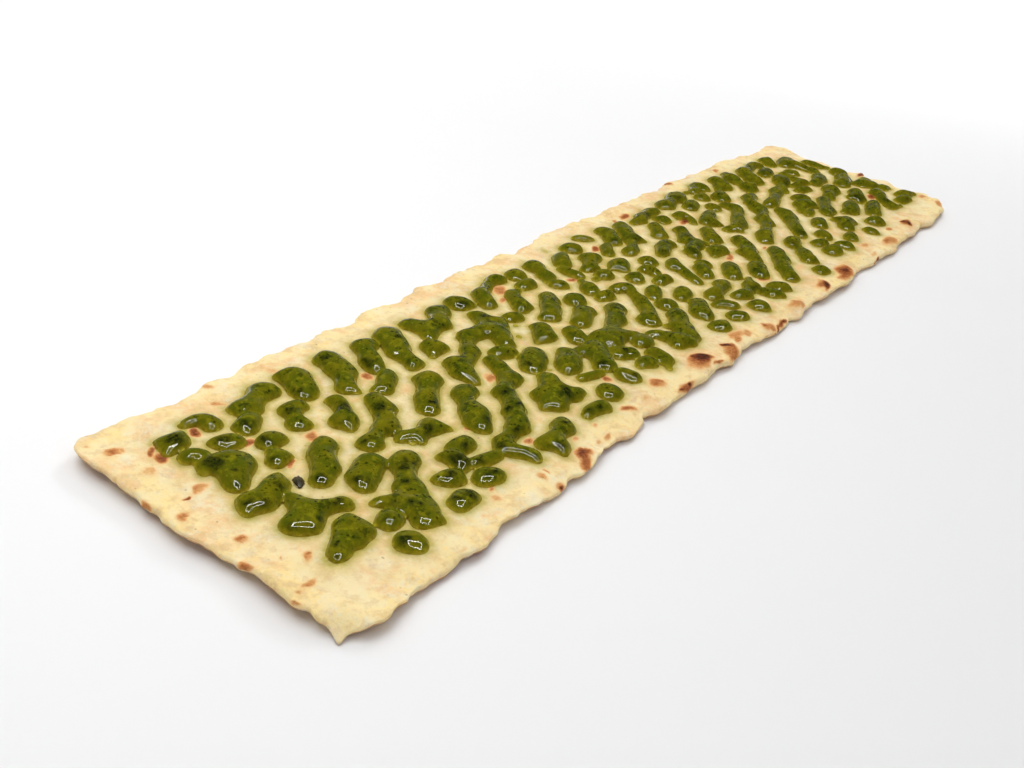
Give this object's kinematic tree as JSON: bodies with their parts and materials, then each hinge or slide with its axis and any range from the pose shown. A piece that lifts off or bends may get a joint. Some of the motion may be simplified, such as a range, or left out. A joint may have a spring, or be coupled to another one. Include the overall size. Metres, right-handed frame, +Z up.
{
  "type": "pesto flatbread",
  "caption": "Long thin strip of baked flatbread with a ragged blistered crust, topped with short slanting beads and drops of green pesto.",
  "frame": {"origin": "under the middle of the strip's footprint, on the surface it lies on", "axes": "+X along the strip's length, +Y across its width, +Z up"},
  "size_m": [0.454, 0.1116, 0.0065],
  "materials": {
    "crust": "matte baked crumb, toasted blisters",
    "pesto": "wet oily gloss"
  },
  "bodies": {
    "root": {"flatbread": "crust", "pesto_01": "pesto", "pesto_02": "pesto", "pesto_03": "pesto", "pesto_04": "pesto", "pesto_05": "pesto", "pesto_06": "pesto", "pesto_07": "pesto", "pesto_08": "pesto", "pesto_09": "pesto", "pesto_10": "pesto", "pesto_11": "pesto", "pesto_12": "pesto", "pesto_13": "pesto", "pesto_14": "pesto", "pesto_15": "pesto", "pesto_16": "pesto", "pesto_17": "pesto", "pesto_18": "pesto", "pesto_19": "pesto", "pesto_20": "pesto", "pesto_21": "pesto", "pesto_22": "pesto", "pesto_23": "pesto", "pesto_24": "pesto", "pesto_25": "pesto", "pesto_26": "pesto", "pesto_27": "pesto", "pesto_28": "pesto", "pesto_29": "pesto", "pesto_30": "pesto", "pesto_31": "pesto", "pesto_32": "pesto", "pesto_33": "pesto", "pesto_34": "pesto", "pesto_35": "pesto", "pesto_36": "pesto", "pesto_37": "pesto", "pesto_38": "pesto", "pesto_39": "pesto", "pesto_40": "pesto", "pesto_41": "pesto", "pesto_42": "pesto", "pesto_43": "pesto", "pesto_44": "pesto", "pesto_45": "pesto", "pesto_46": "pesto", "pesto_47": "pesto", "pesto_48": "pesto", "pesto_49": "pesto", "pesto_50": "pesto", "pesto_51": "pesto", "pesto_52": "pesto", "pesto_53": "pesto", "pesto_54": "pesto", "pesto_55": "pesto", "pesto_56": "pesto", "pesto_57": "pesto", "pesto_58": "pesto"}
  },
  "joints": []
}
